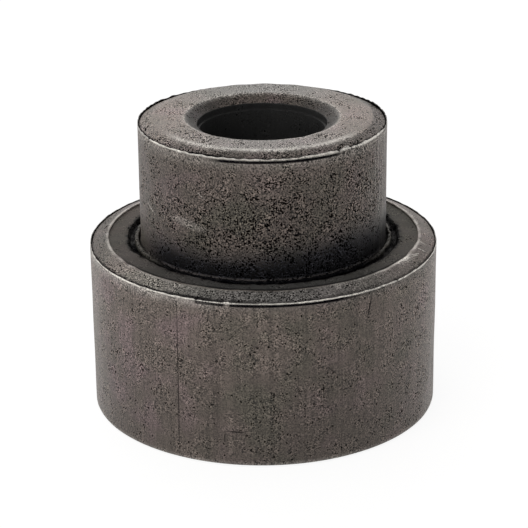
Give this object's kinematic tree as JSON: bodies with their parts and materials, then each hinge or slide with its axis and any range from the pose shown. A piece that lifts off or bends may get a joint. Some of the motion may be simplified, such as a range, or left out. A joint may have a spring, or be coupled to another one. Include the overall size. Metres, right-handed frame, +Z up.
{
  "type": "plain bearing bushing",
  "caption": "Stepped plain bearing bushing of sintered iron: a wide round body with a narrower journal on top and one bore through both.",
  "frame": {"origin": "centre of the bottom face of the body, on the axis of the bore", "axes": "+Z up along the bore, from the wide body to the narrow journal; X and Y are any pair across it"},
  "size_m": [0.028, 0.028, 0.024],
  "materials": {
    "sintered_iron": "as sintered: dull, speckled with fine pores, burnished at the crests, with die streaks on the walls"
  },
  "bodies": {
    "root": {"bushing": "sintered_iron"}
  },
  "joints": []
}
